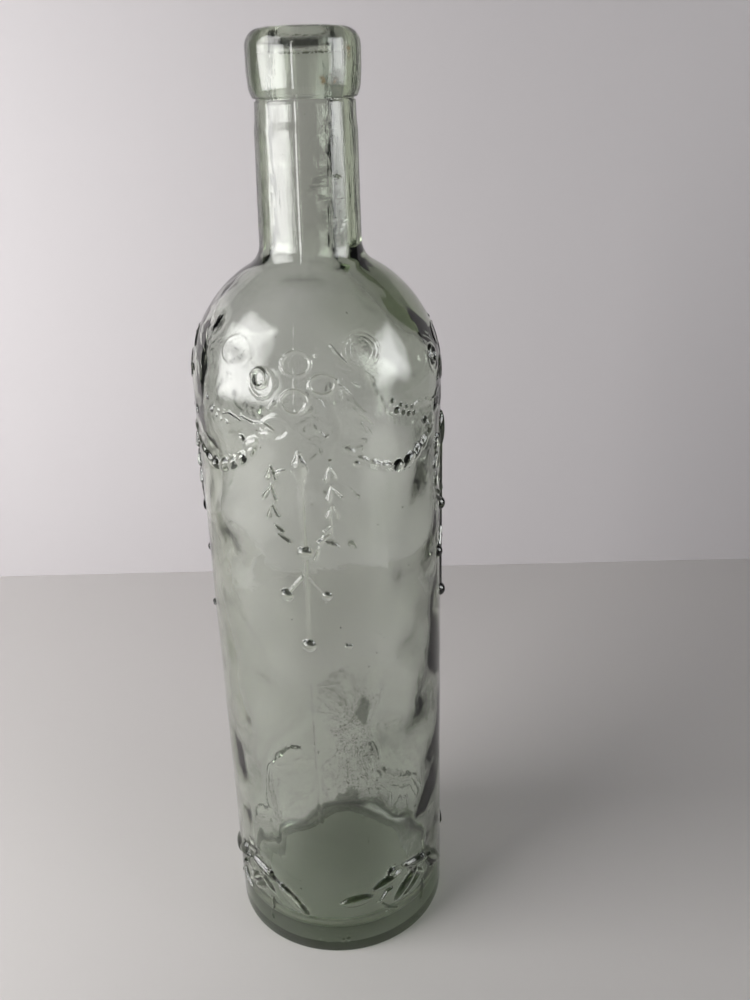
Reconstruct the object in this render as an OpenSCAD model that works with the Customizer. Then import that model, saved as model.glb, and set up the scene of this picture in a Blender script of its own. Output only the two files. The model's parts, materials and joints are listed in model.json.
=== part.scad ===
// Tall moulded glass bottle with a stout collar and a festoon relief.
// One piece of glass: body, domed shoulder, neck, collar and relief.
// Millimetres. The base rests on z = 0 and the axis of the bottle is Z.
// The mould seam and the middle of one relief panel face -Y.

/* [Overall] */
// Height from the resting face to the top of the mouth
height = 294; // [280:1:320]

/* [Body] */
// Outside diameter of the straight side
body_d = 75; // [73:0.5:78]
// Height of the straight side, where the shoulder starts
body_h = 200; // [190:1:206]
// Thickness of the side wall
wall = 4; // [3:0.25:5]
// Rounding of the heel, where the side turns under
heel_r = 1.2; // [0.8:0.2:3]

/* [Base] */
// Thickness of the floor at the foot of the side wall
floor_t = 6; // [5:0.5:9]
// Width of the flat ring that the bottle rests on
rest_w = 7.5; // [4:0.5:10]
// Depth of the hollow pushed up into the underside
punt_h = 1.5; // [1:0.25:3]
// How much the floor rises from its edge to its middle
floor_rise = 0.6; // [0.4:0.2:3]
// Rounding inside, where the wall meets the floor
corner_r = 9; // [2:0.5:10]

/* [Shoulder and neck] */
// Radius of the domed shoulder
shoulder_r = 37.5; // [36:0.5:40]
// Radius of the hollow curve from the shoulder into the neck
neck_curve_r = 7.2; // [5:0.2:10]
// Outside diameter of the neck at its foot
neck_foot_d = 29.7; // [27:0.1:31]
// Outside diameter of the neck near its top
neck_top_d = 28.8; // [27:0.1:30]
// Outside diameter of the pinch under the collar
pinch_d = 27.8; // [25:0.1:28.6]
// Length over which the neck draws in to the pinch
pinch_len = 7; // [4:0.5:10]

/* [Collar] */
// Height of the collar, from the pinch to the mouth
collar_h = 18.5; // [14:0.5:24]
// Outside diameter of the collar
collar_d = 31.3; // [30:0.1:34]
// How much narrower the collar is at its lower edge
collar_taper = 0.7; // [0:0.1:1.2]
// Height of the straight band below the rounded top edge
collar_band_h = 6; // [3:0.5:8]
// Height of the slope under the collar
collar_slope_h = 3.8; // [2:0.1:6]
// Rounding of the outer top edge
rim_r = 4.5; // [2:0.25:5]
// Diameter of the bore, for a cork or a stopper
bore_d = 16; // [14:0.1:18]
// Rounding of the edge of the mouth
mouth_r = 1.5; // [0.5:0.25:2]

/* [Relief] */
// Number of panels around the bottle, all alike but for the plain shoulder at the back
panels = 4; // [2:1:4]
// How far the beads stand out of the glass
bead_rise = 1.6; // [0.8:0.1:1.8]
// How far the middle line of a leaf lies under the surface
leaf_sink = 0.3; // [0.2:0.05:0.5]
// Height of the middle of the ringed flower on the shoulder
flower_z = 208; // [205:1:211]
// Outside diameter of each ring of the flower
petal_d = 7; // [5:0.25:8]
// Height of the two rosettes beside the flower
rosette_z = 214; // [210:1:217]
// Outside diameter of a rosette
rosette_d = 7.5; // [6:0.25:9]
// Height where the two leaf chains start, side by side
chain_top_z = 181; // [178:1:184]
// Height where they meet, at the bead under them
chain_foot_z = 158; // [150:1:162]
// Half the width between the two leaf chains at their top
chain_half_w = 8.5; // [6:0.25:11]
// Leaves in each chain
chain_leaves = 5; // [3:1:6]
// Height of the lowest bead of the pendant
pendant_z = 126; // [118:1:134]
// Height of the lowest point of the garland between two panels
swag_z = 180; // [176:1:184]
// How far the garland drops from its ends to that point
swag_drop = 12; // [6:1:16]
// Leaves on each half of the garland
swag_leaves = 5; // [3:1:6]
// Height of the lower end of the leaf spray above the base
spray_z = 18; // [14:1:22]
// How far that spray climbs on its way to the next panel
spray_rise = 14; // [8:1:20]
// Leaves on each arm of the spray
spray_leaves = 3; // [2:1:4]

/* [Hidden] */
$fn = 96;
glass = [0.72, 0.80, 0.76, 0.55];
bite = 0.5;
body_r = body_d / 2;
bore_r = bore_d / 2;
collar_z = height - collar_h;
collar_r = collar_d / 2;
cavity_r = body_r - wall;
dome_x = body_r - shoulder_r;
panel_angle = 360 / panels;
mm_to_deg = 180 / (PI * body_r);

// Height above the dome's centre where a neck of radius neck_r meets its hollow curve.
function blend_z(dome_r, neck_r, curve_r) =
    sqrt(pow(dome_r + curve_r, 2) - pow(neck_r + curve_r - dome_x, 2));

// Slope of the glass at height z: 0 on the straight side, more up the dome.
function tilt(z) = z > body_h ? asin((z - body_h) / shoulder_r) : 0;

// Radius of the outside of the glass at height z.
function glass_r(z) = z > body_h ? dome_x + shoulder_r * cos(tilt(z)) : body_r;

// Height of the garland at an angle from the middle of the panel.
function swag_height(a) = swag_z + swag_drop * pow(1 - 2 * a / panel_angle, 2);

// Half outline of a dome that turns into a neck through a hollow curve.
module dome_and_neck(dome_r, neck_r, curve_r, top) {
    curve = [neck_r + curve_r, blend_z(dome_r, neck_r, curve_r)];
    intersection() {
        translate([dome_x, 0]) circle(dome_r);
        square([dome_x + dome_r, dome_r]);
    }
    square([neck_r, top]);
    intersection() {
        difference() {
            polygon([[dome_x, 0], curve, [dome_x, curve.y]]);
            translate(curve) circle(curve_r);
        }
        square([curve.x, curve.y]);
    }
}

module outside_outline() {
    foot_z = body_h + blend_z(shoulder_r, neck_foot_d / 2, neck_curve_r);
    translate([0, heel_r]) square([body_r, body_h - heel_r]);
    square([body_r - heel_r, heel_r]);
    translate([body_r - heel_r, heel_r]) circle(heel_r);
    translate([0, body_h]) dome_and_neck(shoulder_r, neck_foot_d / 2, neck_curve_r,
                                         foot_z - body_h);
    polygon([[0, foot_z], [neck_foot_d / 2, foot_z], [neck_top_d / 2, collar_z - pinch_len],
             [pinch_d / 2, collar_z], [0, collar_z]]);
    collar_outline();
}

module collar_outline() {
    low_r = collar_r - collar_taper / 2;
    translate([0, collar_z])
        polygon([[0, 0], [pinch_d / 2, 0], [low_r, collar_slope_h],
                 [collar_r, collar_h - rim_r - collar_band_h],
                 [collar_r, collar_h - rim_r], [0, collar_h - rim_r]]);
    translate([0, height - rim_r]) square([collar_r - rim_r, rim_r]);
    translate([collar_r - rim_r, height - rim_r]) circle(rim_r);
}

// Everything inside the glass: the room for the drink, the bore and its rounded edge.
module cavity_outline() {
    translate([0, floor_t + corner_r]) square([cavity_r, body_h - floor_t - corner_r]);
    translate([0, floor_t]) square([cavity_r - corner_r, corner_r]);
    translate([cavity_r - corner_r, floor_t + corner_r]) circle(corner_r);
    translate([0, body_h]) dome_and_neck(shoulder_r - wall, bore_r, neck_curve_r + wall,
                                         height - body_h + bite);
    translate([0, height - mouth_r]) difference() {
        square([bore_r + mouth_r, mouth_r + bite]);
        translate([bore_r + mouth_r, 0]) circle(mouth_r);
    }
}

// A shallow dome: base radius r, height h, standing on z = 0.
module low_dome(r, h) {
    ball_r = (r * r + h * h) / (2 * h);
    intersection() {
        translate([0, 0, h - ball_r]) sphere(ball_r);
        cylinder(r = 2 * r, h = h + bite);
    }
}

// Puts a child on the glass: its z points out of the glass and its y points up.
module on_glass(angle, z) {
    rotate([0, 0, angle]) translate([0, -glass_r(z), z]) rotate([90 - tilt(z), 0, 0])
        children();
}

module bead(d) {
    translate([0, 0, bead_rise - d / 2]) sphere(d = d, $fn = 32);
}

module ring(d, w) {
    rotate_extrude($fn = 48) translate([(d - w) / 2, 0]) circle(d = w, $fn = 24);
}

// A pointed leaf lying along y, its axis just under the surface of the glass.
module leaf(long, wide) {
    translate([0, 0, -leaf_sink]) rotate([-90, 0, 0]) {
        cylinder(h = long * 0.4, r1 = wide / 2, r2 = 0.2, $fn = 24);
        mirror([0, 0, 1]) cylinder(h = long * 0.6, r1 = wide / 2, r2 = 0.2, $fn = 24);
    }
}

// A round bar along the glass between two points, each [angle, z].
module rod(from, to, d) {
    across = (to.x - from.x) / mm_to_deg;
    up = to.y - from.y;
    on_glass((from.x + to.x) / 2, (from.y + to.y) / 2)
        rotate([0, 0, atan2(up, across)]) rotate([0, 90, 0])
            cylinder(d = d, h = norm([across, up]), center = true, $fn = 24);
}

module flower() {
    side = petal_d * 1.16 * mm_to_deg;
    for (s = [-1, 1]) {
        on_glass(s * side, flower_z) ring(petal_d, 1.4);
        on_glass(0, flower_z + s * petal_d * 0.74) ring(petal_d, 1.4);
    }
}

module rosette(angle) {
    on_glass(angle, rosette_z) {
        ring(rosette_d, 1.2);
        bead(rosette_d / 2);
    }
}

// One of the two leaf chains, on side s, that hang in a loop and meet at a bead.
module leaf_chain(s) {
    drop = chain_top_z - chain_foot_z;
    for (i = [0 : chain_leaves - 1]) {
        turn = 70 * i / chain_leaves;
        on_glass(s * chain_half_w * cos(turn) * mm_to_deg, chain_top_z - drop * sin(turn))
            rotate([0, 0, -s * (turn * 0.7 - 12)]) leaf(0.9 * drop / chain_leaves, 2.4);
    }
}

module pendant() {
    bar_z = chain_foot_z - 8;
    tip_z = chain_foot_z - 15;
    tip_angle = 6 * mm_to_deg;
    on_glass(0, chain_foot_z) bead(4);
    for (s = [-1, 1]) {
        rod([s * 1.5 * mm_to_deg, bar_z], [s * tip_angle, tip_z], 1.1);
        on_glass(s * tip_angle, tip_z) bead(3.4);
    }
    on_glass(0, pendant_z) bead(4.2);
    rod([0, pendant_z], [0, chain_top_z + 5], 1.1);
}

// Half a garland, on side s, from the knot down to the bead half way to the next panel.
module half_garland(s) {
    reach = panel_angle / 2;
    on_glass(s * 4.2 * mm_to_deg, swag_z + swag_drop + 2) ring(5.5, 1.2);
    for (i = [1 : swag_leaves]) {
        a = reach * i / (swag_leaves + 0.7);
        slope = atan2(swag_height(a - 1) - swag_height(a + 1), 2 / mm_to_deg);
        on_glass(s * a, swag_height(a)) rotate([0, 0, s * (90 - slope)]) leaf(5.2, 2.8);
    }
}

// One arm of the leaf spray above the base, on side s.
module spray(s) {
    reach = panel_angle / 2;
    slope = atan2(spray_rise, reach / mm_to_deg);
    for (i = [1 : spray_leaves]) {
        part = (i - 0.4) / spray_leaves;
        on_glass(s * reach * part, spray_z + spray_rise * part)
            rotate([0, 0, -s * (90 - slope)]) leaf(8, 3.6);
    }
}

module panel(flowered) {
    if (flowered) {
        flower();
        for (s = [-1, 1]) rosette(s * 19 * mm_to_deg);
    }
    pendant();
    on_glass(panel_angle / 2, swag_z) bead(4);
    on_glass(panel_angle / 2, spray_z + spray_rise) bead(3.6);
    for (s = [-1, 1]) {
        leaf_chain(s);
        half_garland(s);
        spray(s);
    }
}

module bottle() {
    color(glass) difference() {
        union() {
            rotate_extrude() outside_outline();
            for (i = [0 : panels - 1])
                rotate([0, 0, i * panel_angle]) panel(2 * i != panels);
        }
        difference() {
            rotate_extrude() cavity_outline();
            translate([0, 0, floor_t]) low_dome(cavity_r - corner_r, floor_rise);
        }
        translate([0, 0, -bite]) cylinder(r = body_r - heel_r - rest_w, h = bite);
        low_dome(body_r - heel_r - rest_w, punt_h);
    }
}

bottle();
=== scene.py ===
import json
import math

import bpy
import numpy as np
from mathutils import Euler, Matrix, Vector

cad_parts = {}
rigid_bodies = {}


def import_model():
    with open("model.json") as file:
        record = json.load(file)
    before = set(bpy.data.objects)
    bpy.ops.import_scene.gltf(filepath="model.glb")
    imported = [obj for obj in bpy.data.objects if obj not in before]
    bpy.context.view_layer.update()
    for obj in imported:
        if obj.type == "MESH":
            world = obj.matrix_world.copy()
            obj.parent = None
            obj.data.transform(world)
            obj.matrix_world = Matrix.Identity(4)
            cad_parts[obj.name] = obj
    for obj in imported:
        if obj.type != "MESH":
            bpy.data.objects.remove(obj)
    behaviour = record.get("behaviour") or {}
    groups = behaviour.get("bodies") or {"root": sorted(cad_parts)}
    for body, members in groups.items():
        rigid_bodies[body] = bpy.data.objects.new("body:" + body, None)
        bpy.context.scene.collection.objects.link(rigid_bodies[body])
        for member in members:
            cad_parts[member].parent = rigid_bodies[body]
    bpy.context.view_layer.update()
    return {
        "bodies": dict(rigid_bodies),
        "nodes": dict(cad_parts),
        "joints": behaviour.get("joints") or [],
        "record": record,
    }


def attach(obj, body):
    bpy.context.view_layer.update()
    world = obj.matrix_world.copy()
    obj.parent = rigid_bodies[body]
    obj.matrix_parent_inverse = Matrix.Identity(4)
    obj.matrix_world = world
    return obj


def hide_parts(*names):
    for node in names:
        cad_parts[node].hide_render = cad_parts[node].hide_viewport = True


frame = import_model()
mm = 0.001
print("frame loaded")


# small helpers
def selectOnly(piece):
    if bpy.context.object and bpy.context.object.mode != "OBJECT":
        bpy.ops.object.mode_set(mode="OBJECT")
    bpy.ops.object.select_all(action="DESELECT")
    piece.select_set(True)
    bpy.context.view_layer.objects.active = piece


def coordsOf(piece):
    co = np.zeros(len(piece.data.vertices) * 3)
    piece.data.vertices.foreach_get("co", co)
    return co.reshape(-1, 3)


def setCoords(piece, co):
    piece.data.vertices.foreach_set("co", co.ravel())
    piece.data.update()


def addGroup(piece, name, weights):
    group = piece.vertex_groups.new(name=name)
    for i in np.nonzero(weights > 0)[0]:
        group.add([int(i)], float(min(weights[i], 1.0)), "REPLACE")
    return group


def displace(piece, name, group, strength, midLevel=0.0, texture=None):
    mod = piece.modifiers.new(name, "DISPLACE")
    mod.vertex_group = group
    mod.direction = "NORMAL"
    mod.strength = strength
    mod.mid_level = midLevel
    if texture is not None:
        mod.texture = texture
        mod.texture_coords = "LOCAL"
    selectOnly(piece)
    bpy.ops.object.modifier_apply(modifier=name)


def smoothStep(x, low, high):
    t = np.clip((x - low) / (high - low), 0, 1)
    return t * t * (3 - 2 * t)


# the outline that the bottle is spun from, in millimetres
bottle = {
    "bodyR": 37.5, "bodyTop": 200.0, "heelR": 1.2, "restWidth": 7.5, "puntRise": 1.5,
    "neckFootR": 14.85, "neckTopR": 14.4, "neckTop": 268.5, "neckCurveR": 7.2,
    # radius and height of the pinch under the collar and of the slope out to its band
    "collarFoot": [(14.1, 271.2), (14.0, 273.6), (13.95, 275.9), (13.5, 276.3), (13.45, 276.6),
                   (14.35, 276.85), (14.6, 277.3), (14.95, 278.1), (15.2, 278.9), (15.35, 279.8),
                   (15.42, 280.8)],
    "collarR": 15.65, "bandBottom": 283.5, "rimR": 4.5, "top": 294.0,
    "boreR": 8.0, "mouthR": 1.5, "cavityR": 33.5, "innerCurveR": 11.2,
    "floorEdge": 6.0, "cornerR": 9.0, "floorRise": 0.6,
    # how finely the outline is cut: steps round it, rings in the flat parts, cells along it
    "spinSteps": 108, "hollowRings": 10, "floorRings": 11,
    "restCell": 2.0, "sideCell": 2.2, "neckCell": 1.8, "footCell": 1.0, "fineCell": 0.75,
    "bandCell": 0.9, "mouthCell": 0.5, "boreCell": 1.4, "throatCell": 1.6, "domeCell": 2.2,
    "innerCell": 4.8, "cornerCell": 1.2,
}


def line(path, to, cell):
    start = path[-1]
    count = max(1, round(math.dist(start, to) / cell))
    for i in range(1, count + 1):
        path.append([start[0] + (to[0] - start[0]) * i / count,
                     start[1] + (to[1] - start[1]) * i / count])


def arc(path, centre, radius, first, last, cell):
    count = max(2, round(abs(math.radians(last - first)) * radius / cell))
    for i in range(count + 1):
        a = math.radians(first + (last - first) * i / count)
        point = [centre[0] + radius * math.cos(a), centre[1] + radius * math.sin(a)]
        if math.dist(point, path[-1]) > 1e-4:
            path.append(point)


def outsidePath(b):
    restR = b["bodyR"] - b["heelR"] - b["restWidth"]
    ball = (restR ** 2 + b["puntRise"] ** 2) / (2 * b["puntRise"])
    path = [[0.0, b["puntRise"]]]
    rings = b["hollowRings"]
    for i in range(1, rings + 1):
        r = restR * i / rings
        path.append([r, math.sqrt(ball ** 2 - r ** 2) - ball + b["puntRise"]])
    line(path, (b["bodyR"] - b["heelR"], 0), b["restCell"])
    arc(path, (b["bodyR"] - b["heelR"], b["heelR"]), b["heelR"], -90, 0, b["fineCell"])
    line(path, (b["bodyR"], b["bodyTop"]), b["sideCell"])
    curveX = b["neckFootR"] + b["neckCurveR"]
    curveZ = math.sqrt((b["bodyR"] + b["neckCurveR"]) ** 2 - curveX ** 2)
    meet = math.degrees(math.atan2(curveZ, curveX))
    arc(path, (0, b["bodyTop"]), b["bodyR"], 0, meet, b["neckCell"])
    arc(path, (curveX, b["bodyTop"] + curveZ), b["neckCurveR"], 180 + meet, 180, b["footCell"])
    line(path, (b["neckTopR"], b["neckTop"]), b["neckCell"])
    for r, z in b["collarFoot"]:
        line(path, (r, z), b["fineCell"])
    line(path, (b["collarR"], b["bandBottom"]), b["fineCell"])
    line(path, (b["collarR"], b["top"] - b["rimR"]), b["bandCell"])
    arc(path, (b["collarR"] - b["rimR"], b["top"] - b["rimR"]), b["rimR"], 0, 90, b["fineCell"])
    line(path, (b["boreR"] + b["mouthR"], b["top"]), b["fineCell"])
    return path


def insidePath(b, start):
    path = [start]
    arc(path, (b["boreR"] + b["mouthR"], b["top"] - b["mouthR"]), b["mouthR"], 90, 180,
        b["mouthCell"])
    curveX = b["boreR"] + b["innerCurveR"]
    curveZ = math.sqrt((b["cavityR"] + b["innerCurveR"]) ** 2 - curveX ** 2)
    meet = math.degrees(math.atan2(curveZ, curveX))
    line(path, (b["boreR"], b["bodyTop"] + curveZ), b["boreCell"])
    arc(path, (curveX, b["bodyTop"] + curveZ), b["innerCurveR"], 180, 180 + meet,
        b["throatCell"])
    arc(path, (0, b["bodyTop"]), b["cavityR"], meet, 0, b["domeCell"])
    line(path, (b["cavityR"], b["floorEdge"] + b["cornerR"]), b["innerCell"])
    arc(path, (b["cavityR"] - b["cornerR"], b["floorEdge"] + b["cornerR"]), b["cornerR"],
        0, -90, b["cornerCell"])
    edge = b["cavityR"] - b["cornerR"]
    ball = (edge ** 2 + b["floorRise"] ** 2) / (2 * b["floorRise"])
    rings = b["floorRings"]
    for i in range(1, rings + 1):
        r = edge * (1 - i / rings)
        path.append([r, math.sqrt(ball ** 2 - r ** 2) - ball + b["floorRise"] + b["floorEdge"]])
    return path


def spinBottle(b):
    outer = outsidePath(b)
    inner = insidePath(b, outer[-1])
    path = outer + inner[1:]
    bpy.ops.object.select_all(action="DESELECT")
    bpy.ops.mesh.primitive_plane_add(size=0.01, location=(0, 0, 0))
    piece = bpy.context.object
    piece.name = "bottleGlass"
    bpy.ops.object.mode_set(mode="EDIT")
    bpy.ops.mesh.merge(type="CENTER")
    bpy.ops.transform.translate(value=(0, 0, path[0][1] * mm))
    for here, there in zip(path, path[1:]):  # the outline, drawn point by point
        bpy.ops.mesh.extrude_vertices_move(TRANSFORM_OT_translate={
            "value": ((there[0] - here[0]) * mm, 0, (there[1] - here[1]) * mm)})
    bpy.ops.mesh.select_all(action="SELECT")
    bpy.ops.mesh.spin(steps=b["spinSteps"], angle=2 * math.pi, center=(0, 0, 0), axis=(0, 0, 1))
    bpy.ops.mesh.select_all(action="SELECT")
    bpy.ops.mesh.remove_doubles(threshold=0.00002)
    bpy.ops.mesh.normals_make_consistent(inside=False)
    bpy.ops.object.mode_set(mode="OBJECT")
    return piece, np.array(outer)[b["hollowRings"]:] * mm


glass, outerLine = spinBottle(bottle)
print("bottle spun:", len(glass.data.polygons), "faces")
outerR, outerZ = outerLine[:, 0], outerLine[:, 1]  # from the resting edge to the mouth


def outsideRadius(z):
    return np.interp(z, outerZ, outerR)


# what bounds the cavity, in metres: a depth of about half a wall, the floor, and the lip
cavityEdge = {"halfWall": 0.0018, "floor": 0.0055, "lip": 0.2925, "lipR": 0.0081}


# true on the wall of the cavity, false on the outside
def insideMask(co):
    r = np.hypot(co[:, 0], co[:, 1])
    z = co[:, 2]
    inner = (r < outsideRadius(z) - cavityEdge["halfWall"]) & (z > cavityEdge["floor"])
    return inner & ~((z > cavityEdge["lip"]) & (r > cavityEdge["lipR"]))


anyWidth = 9.0  # wider than any feature of the relief

# relief: one panel, repeated round the bottle. Angles in degrees, lengths in mm
relief = {
    "panels": 4, "deepest": 1.8,
    # each cutting of the cells is for features of a least rise and a greatest width. Cells are
    # picked a little wider, the finest only up to frontTo behind the middle, and new points
    # settle on the outline between two heights
    "passes": ((0.0, anyWidth), (0.0, anyWidth), (0.44, 0.95)), "spare": 0.08,
    "frontTo": 8.0, "settled": (2.6, 289.4),
    # how far in from the outline the outside is still taken to reach
    "skin": 1.2,
    # how much of its height the relief keeps at the sides from the shoulder up, and at the
    # back below the spray's top
    "sideWear": 0.6, "shoulder": 189.0, "backWear": 0.25, "sprayTop": 45.0,
    # angle, height, half width, half height, half thickness, rise
    "flower": [
        (-14.8, 206.8, 3.4, 3.9, 0.6, 0.35), (11.4, 206.2, 3.5, 2.6, 0.6, 0.55),
        (0.6, 211.8, 3.9, 3.2, 0.6, 0.45), (-0.8, 201.8, 3.5, 3.2, 0.65, 0.62),
    ],
    "eyelet": (-15.6, 208.0, 1.9, 2.4, 0.75, 1.1),
    "rosettes": [(29.4, 214.3, 5.7, 4.9, 0.35, 0.3), (29.4, 214.3, 4.6, 3.9, 0.35, 0.35),
                 (29.4, 214.3, 3.4, 2.9, 0.3, 0.25), (-29.4, 214.3, 4.6, 3.9, 0.4, 0.2)],
    "loops": [(-9.4, 194.2, 3.8, 3.2, 0.6, 0.42), (6.9, 193.8, 4.3, 3.0, 0.6, 0.2)],
    # angle, height, diameter, rise
    "beads": [
        (0, 157.0, 4.8, 1.55), (-9.5, 142.9, 4.4, 1.5),
        (9.0, 142.8, 3.4, 1.0), (-0.5, 126.1, 4.8, 1.6), (42.5, 199.4, 1.4, 0.6),
        (45.0, 196.4, 2.2, 0.8), (47.2, 197.6, 1.3, 0.5), (48.7, 195.2, 1.6, 0.6),
        (50.6, 196.7, 1.2, 0.5), (52.0, 194.4, 1.7, 0.6), (54.0, 196.0, 1.3, 0.5),
        (55.4, 194.0, 1.5, 0.6), (45, 180.0, 4.0, 1.4), (57.9, 29.7, 2.8, 1.2),
        (63.6, 26.6, 2.2, 1.0), (-54.0, 32.0, 3.6, 1.4), (68.4, 20.4, 1.8, 0.8),
        (63.6, 190.3, 2.4, 0.9),
        (24.6, 182.8, 3.4, 0.8), (16.8, 125.2, 1.7, 0.8), (18.6, 125.0, 1.4, 0.7),
        (11.0, 6.2, 2.4, 0.5), (8.0, 6.0, 1.8, 0.4),
    ],
    # points (angle, height), half width at the start, middle and end, rise
    "strokes": [
        ([(-1.6, 149.2), (-8.4, 143.8)], 0.5, 0.5, 0.5, 0.7),
        ([(0.2, 186.6), (-2.2, 184.2), (-3.7, 181.0)], 0.6, 0.7, 0.3, 0.65),
        ([(0.2, 186.6), (2.2, 184.2), (3.7, 181.0)], 0.6, 0.7, 0.3, 0.65),
        ([(8.9, 162.4), (4.4, 154.3)], 0.4, 0.6, 0.6, 0.7),
        ([(12.2, 168.2), (12.0, 165.0), (12.4, 161.4)], 0.3, 0.55, 0.3, 0.6),
        ([(9.1, 216.4), (9.1, 213.4)], 0.3, 0.8, 0.3, 0.63),
        ([(16.0, 216.2), (18.9, 213.6), (21.8, 211.6)], 0.35, 0.6, 0.5, 0.65),
        ([(24.0, 206.4), (27.0, 205.1)], 0.3, 0.6, 0.3, 0.5),
        ([(17.4, 207.4), (18.4, 204.8), (19.3, 202.2)], 0.45, 0.5, 0.3, 0.5),
        ([(18.9, 206.0), (22.8, 203.2)], 0.3, 0.5, 0.3, 0.5),
        ([(10.2, 202.6), (11.6, 200.4)], 0.3, 0.6, 0.3, 0.63),
        ([(-9.4, 202.0), (-11.8, 199.8)], 0.3, 0.7, 0.3, 0.5),
        ([(9.8, 193.4), (11.4, 191.6), (13.0, 192.4)], 0.3, 0.5, 0.3, 0.63),
        ([(27.2, 194.6), (28.6, 192.6)], 0.3, 0.55, 0.3, 0.63),
        ([(36.0, 24.4), (33.0, 24.1), (31.2, 22.4), (28.8, 20.3)], 0.4, 0.7, 0.4, 0.95),
        ([(30.5, 18.9), (33.3, 16.3), (38.8, 14.3)], 0.4, 0.7, 0.4, 0.85),
        ([(58.4, 18.3), (58.4, 14.5), (56.5, 10.3), (57.3, 8.0)], 0.3, 0.5, 0.3, 0.63),
        ([(-9.8, 193.6), (-14.4, 195.6), (-19.4, 195.2), (-25.6, 196.6)], 0.3, 0.45, 0.3, 0.63),
        ([(-12.2, 192.6), (-16.4, 193.6)], 0.3, 0.4, 0.3, 0.5),
        ([(-26.4, 195.4), (-31.8, 196.8), (-36.4, 196.0)], 0.3, 0.5, 0.3, 0.63),
    ],
    # leaves: point at the foot, point at the tip, half width, rise
    "worn": [
        ((-10.2, 192.8), (-16.8, 192.0), 1.8, 0.7), ((-18.2, 190.6), (-24.8, 187.4), 1.9, 0.7),
        ((0, 187.2), (0, 176.6), 2.2, 1.3),
    ],
    "leaves": [
        ((-24.2, 189.6), (-22.2, 185.6), 1.0, 0.7), ((-6.0, 182.4), (-12.6, 180.0), 0.9, 0.6),
        ((8.8, 160.4), (16.1, 157.8), 1.3, 0.9),
        ((1.5, 111.4), (13.8, 112.4), 0.7, 0.12),
    ],
    # the two leaf chains: where each blade starts and ends, the same on both sides
    "blades": [((12.6, 183.2), (15.2, 178.8)), ((12.6, 183.2), (10.8, 178.4)),
               ((13.1, 177.6), (11.3, 172.0)), ((13.1, 176.8), (17.4, 173.0)),
               ((13.2, 171.2), (10.4, 167.3)), ((13.2, 171.2), (15.4, 166.8)),
               ((12.6, 165.2), (8.6, 163.0)), ((11.6, 162.5), (5.7, 159.8))],
    "bladeWidths": (0.3, 0.6, 0.85, 0.25), "bladeRise": 1.0,
    # the cord down the middle, and the branch that is nearly worn away
    "cord": [([(0, 187.0), (-0.2, 158.0)], 0.95, 0.62), ([(0.3, 156.0), (-0.4, 128.0)], 0.7, 0.5),
             ([(1.6, 149.2), (7.9, 143.7)], 0.45, 0.16)],
    # garland from the knot down to its lowest point, halfway to the next panel, and up again
    "swagLow": 180.2, "swagDrop": 9.0, "swagMiddle": 45, "swagHalf": 27.0,
    "swagLeaves": [(21.6, 4.6, 1.4, 0.6), (27.6, 4.4, 1.2, 0.55), (33.2, 4.6, 1.5, 0.75),
                   (38.6, 4.4, 1.5, 0.8), (51.4, 5.2, 1.9, 1.1), (57.4, 5.0, 1.7, 1.0),
                   (62.8, 4.8, 1.7, 1.0), (68.4, 4.6, 1.5, 0.9)],
    "swagTurn": 34.0, "swagTurnBack": -0.4,
    # the leaf spray above the heel
    "spray": [
        ((-46.5, 31.8), (-26.5, 27.0), 2.0, 1.35), ((-42.0, 28.6), (-30.0, 21.0), 1.2, 0.8),
        ((-27.5, 27.4), (-9.5, 16.2), 3.0, 1.6),
        ((7.6, 22.6), (26.0, 23.8), 2.5, 1.35), ((24.8, 26.4), (43.0, 30.4), 2.2, 1.35),
        ((38.0, 18.0), (54.0, 28.0), 2.0, 1.25), ((44.0, 18.0), (58.0, 24.0), 1.3, 0.9),
    ],
    "sprayStem": [(-57.0, 33.4), (-50.0, 32.4), (-44.0, 31.0)], "stemHalf": 0.5,
    "stemRise": 0.35,
    "stipple": {"count": 24, "low": 6.4, "high": 11.2, "spread": 17.0, "size": 0.9,
                "rise": 0.25, "seed": 5},
    "seam": {"halfWidth": 0.5, "rise": 0.16, "low": 5.0, "high": 290.0},
}


# the point on the outside at an angle from the front seam and a height in mm
def onGlass(angle, z):
    r = float(outsideRadius(z * mm))
    a = math.radians(angle)
    return np.array([r * math.sin(a), -r * math.cos(a), z * mm])


def nearby(co, points, reach):
    centre = np.mean(points, axis=0)
    span = max(np.linalg.norm(p - centre) for p in points) + reach
    return np.nonzero(((co - centre) ** 2).sum(1) < span * span)[0]


# raises a rounded ridge along the points; spare widens it when faces are picked
def strokeRise(job, points, widths, height, sharp=1.0):
    if height < job["least"] * mm or max(widths) > job["widest"] * mm:
        return
    co, rise, spare = job["co"], job["rise"], job["spare"]
    near = nearby(co, points, max(widths) + spare)
    if not len(near):
        return
    p = co[near]
    best = np.zeros(len(near))
    for k in range(len(points) - 1):
        a, b = points[k], points[k + 1]
        d = b - a
        t = np.clip((p - a) @ d / max(d @ d, 1e-18), 0, 1)
        w = widths[k] + (widths[k + 1] - widths[k]) * t
        gap = np.linalg.norm(p - (a + t[:, None] * d), axis=1)
        x = np.clip(1 - (gap / (w + spare)) ** 2, 0, 1)
        tall = np.clip(w / max(widths), 0, 1) ** 0.5
        best = np.maximum(best, height * tall * x ** sharp)
    rise[near] = np.maximum(rise[near], best)


def leafRise(job, foot, tip, half, height):
    t = np.linspace(0, 1, 9)
    points = [onGlass(foot[0] + (tip[0] - foot[0]) * s, foot[1] + (tip[1] - foot[1]) * s)
              for s in t]
    widths = [max(0.12, half * math.sin(math.pi * min(1, s * 0.94 + 0.05)) ** 0.8) * mm for s in t]
    strokeRise(job, points, widths, height * mm, 0.9)


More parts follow.
